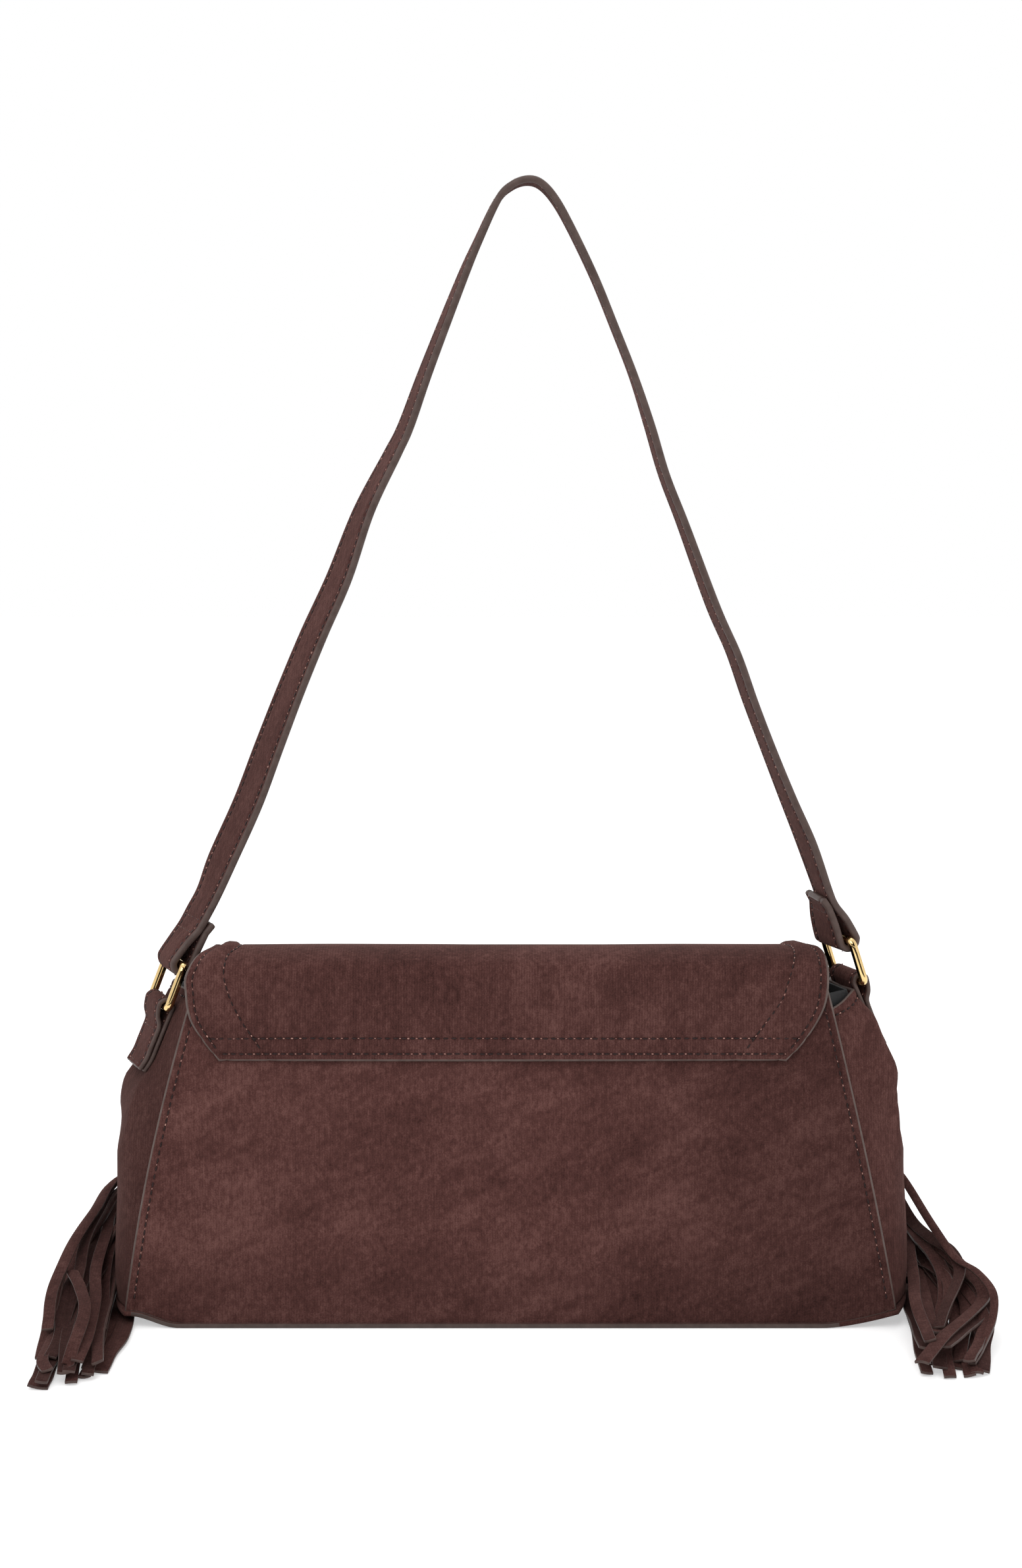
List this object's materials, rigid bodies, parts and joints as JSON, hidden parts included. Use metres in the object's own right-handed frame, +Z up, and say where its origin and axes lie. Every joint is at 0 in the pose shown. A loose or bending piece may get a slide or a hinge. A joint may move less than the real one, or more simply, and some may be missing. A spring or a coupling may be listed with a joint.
{
  "type": "shoulder bag",
  "caption": "Flap-over shoulder bag in soft suede with a raised shoulder strap on two metal rings and a cut-strip tassel hanging from each side.",
  "frame": {"origin": "centre of the base's bottom face", "axes": "+Z up to the top of the raised strap, +Y towards the flap's front, +X along the bag's width to the right seen from its back"},
  "size_m": [0.3994, 0.1701, 0.4725],
  "materials": {
    "suede": "suede nap",
    "gold": "polished",
    "lining": "matte",
    "board": "matte"
  },
  "bodies": {
    "bag": {"back_panel": "suede", "front_panel": "suede", "base_panel": "suede", "gusset_left": "suede", "gusset_right": "suede", "flap": "suede", "tab_left": "suede", "tab_right": "suede", "tassel_left": "suede", "tassel_right": "suede", "tassel_band_left": "suede", "tassel_band_right": "suede", "tassel_hanger_left": "suede", "tassel_hanger_right": "suede", "snap_socket": "gold", "snap_stud": "gold", "lining": "lining", "base_board": "board"},
    "ring_left": {"ring_left": "gold"},
    "strap": {"shoulder_strap": "suede"},
    "ring_right": {"ring_right": "gold"}
  },
  "joints": [
    {"name": "left_ring_swing", "type": "hinge", "parent": "bag", "child": "ring_left", "pos_m": [-0.14767, -0.00152, 0.13108], "axis": [-0.342, 0.9397, 0], "range_deg": [-10, 10]},
    {"name": "strap_swing", "type": "hinge", "parent": "ring_left", "child": "strap", "pos_m": [-0.14101, 0.00091, 0.14871], "axis": [-0.342, 0.9397, 0], "range_deg": [-10.6, 10.6]},
    {"name": "right_ring_swing", "type": "hinge", "parent": "bag", "child": "ring_right", "pos_m": [0.14247, 0.00152, 0.14148], "axis": [-0.342, 0.9397, 0], "range_deg": [-10, 10]}
  ],
  "couplings": [
    {"joint": "strap_swing", "follows": "left_ring_swing", "ratio": -1.0497},
    {"joint": "right_ring_swing", "follows": "left_ring_swing", "ratio": 0.95101}
  ]
}
